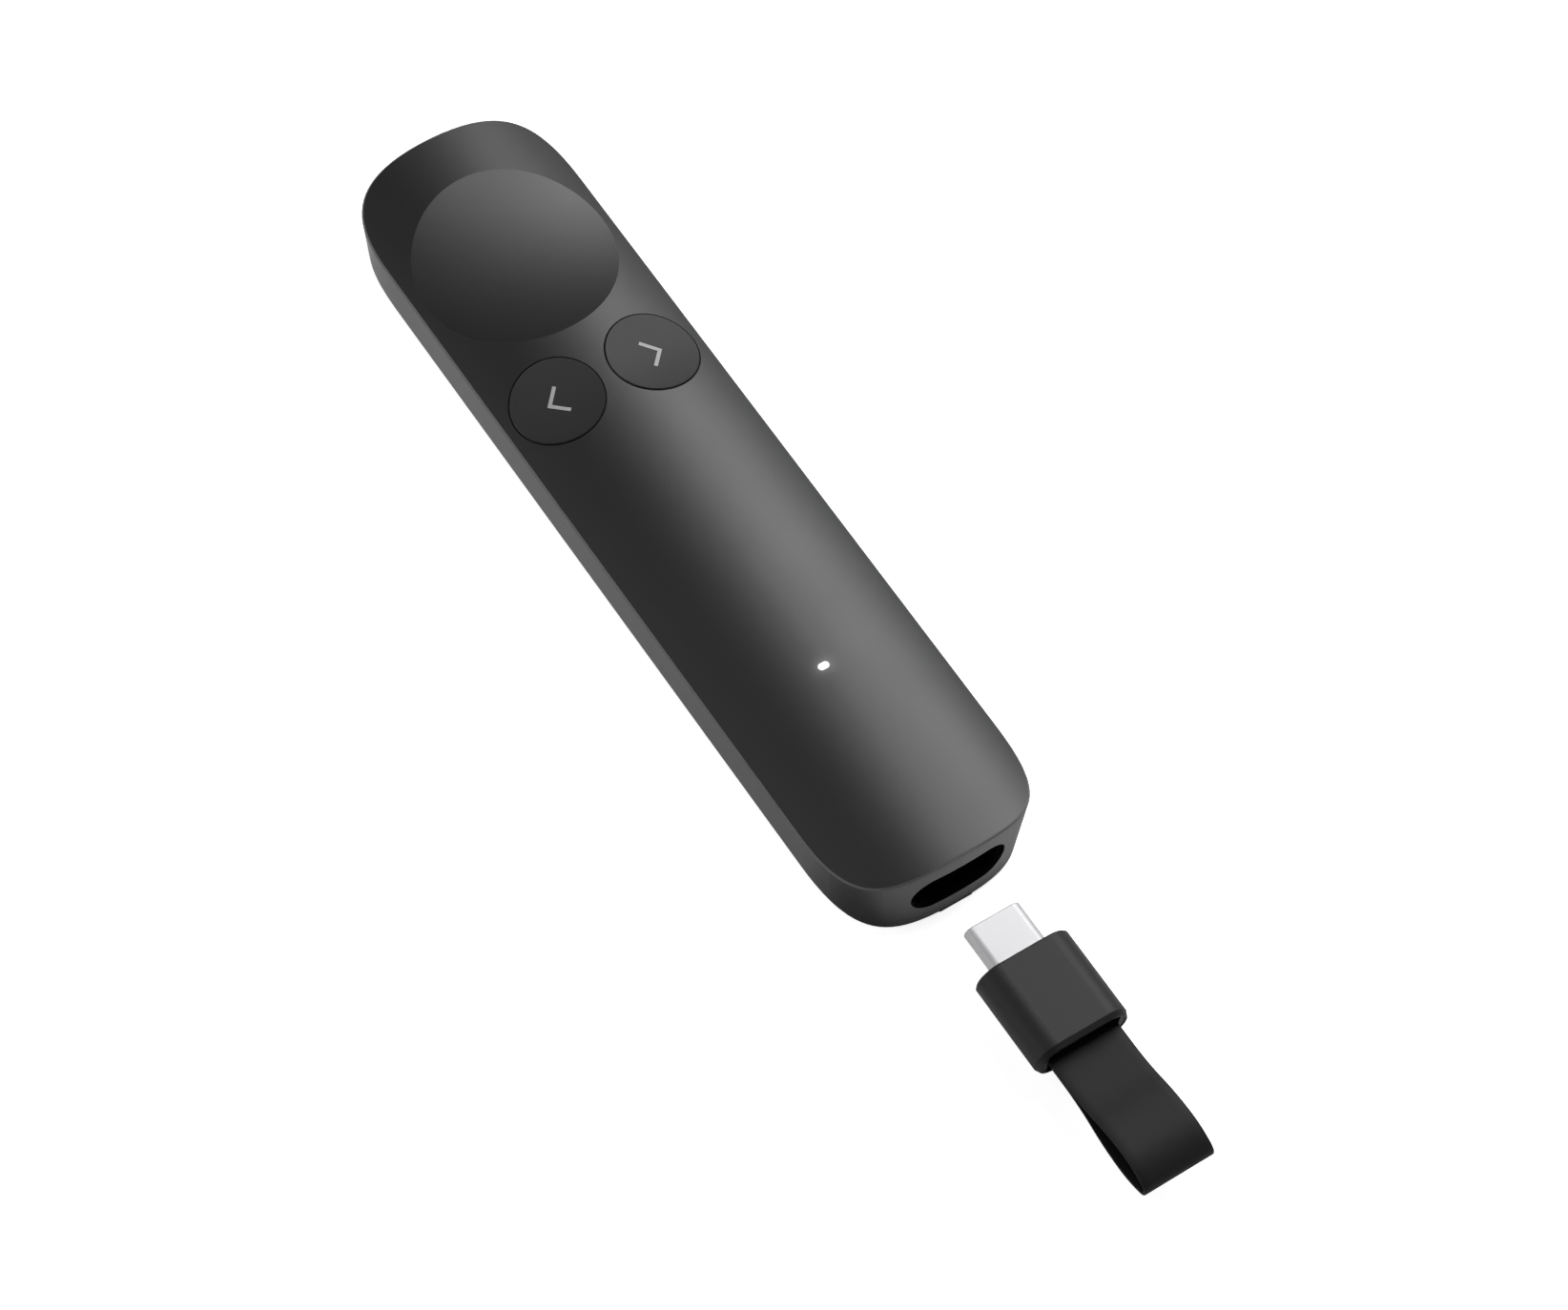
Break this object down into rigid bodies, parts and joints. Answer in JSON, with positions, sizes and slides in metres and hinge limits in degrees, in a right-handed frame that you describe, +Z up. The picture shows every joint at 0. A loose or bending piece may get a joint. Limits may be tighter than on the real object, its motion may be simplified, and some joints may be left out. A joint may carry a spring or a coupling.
{
  "type": "wireless presentation clicker",
  "caption": "Slim crowned handset with a round dished touch pad, two arrow buttons and a lit indicator; its plug-in receiver with a strap loop is drawn out of the end slot.",
  "frame": {"origin": "middle of the handset's flat underside", "axes": "+X along the handset towards the end with the receiver slot, +Y to the user's right, +Z up out of the buttons"},
  "size_m": [0.1719, 0.0298, 0.0128],
  "materials": {
    "cover_satin": "satin dark grey, fine soft sheen",
    "shell_satin": "satin dark grey, the same as the cover",
    "cap_matt": "matt dark grey, duller than the cover",
    "inner_plastic": "plain moulding",
    "board_green": "circuit board, solder mask",
    "chip_black": "moulded package",
    "steel": "plain",
    "lamp_white": "lit white",
    "light_clear": "clear light guide that glows white",
    "film_amber": "polyimide film",
    "cell_silver": "laminate pouch",
    "liner_black": "deep black",
    "receiver_matt": "matt dark grey",
    "plug_bright": "bright nickel, satin",
    "contact_gold": "gold plated",
    "strap_soft": "soft dark grey band, fine grain"
  },
  "bodies": {
    "handset": {"top_cover": "cover_satin", "bottom_shell": "shell_satin", "button_guide": "inner_plastic", "back_switch_body": "inner_plastic", "forward_switch_body": "inner_plastic", "main_board": "board_green", "board_screws": "steel", "board_chips": "chip_black", "radio_chip": "chip_black", "radio_shield": "steel", "chip_antenna": "chip_black", "indicator_lamp": "lamp_white", "light_pipe": "light_clear", "pad_sensor": "film_amber", "pad_connector": "inner_plastic", "battery": "cell_silver", "battery_tape": "inner_plastic", "battery_tabs": "steel", "haptic_motor": "steel", "dock_liner": "liner_black", "usb_socket_shell": "steel", "usb_socket_tongue": "liner_black"},
    "back_button": {"back_button_cap": "cap_matt", "back_switch_plunger": "inner_plastic"},
    "forward_button": {"forward_button_cap": "cap_matt", "forward_switch_plunger": "inner_plastic"},
    "receiver": {"receiver_housing": "receiver_matt", "usb_plug_shell": "plug_bright", "usb_plug_core": "liner_black", "usb_plug_contacts": "contact_gold", "receiver_board": "board_green", "receiver_chip": "chip_black", "receiver_end_plug": "liner_black", "strap_pin": "steel", "wrist_strap": "strap_soft"}
  },
  "joints": [
    {"name": "back_button_press", "type": "slide", "parent": "handset", "child": "back_button", "axis": [0, 0, -1], "range_m": [0, 0.0004], "stiffness_N_per_m": 4000},
    {"name": "forward_button_press", "type": "slide", "parent": "handset", "child": "forward_button", "axis": [0, 0, -1], "range_m": [0, 0.0004], "stiffness_N_per_m": 4000},
    {"name": "receiver_slide", "type": "slide", "parent": "handset", "child": "receiver", "axis": [1, 0, 0], "range_m": [-0.0264, 0]}
  ]
}
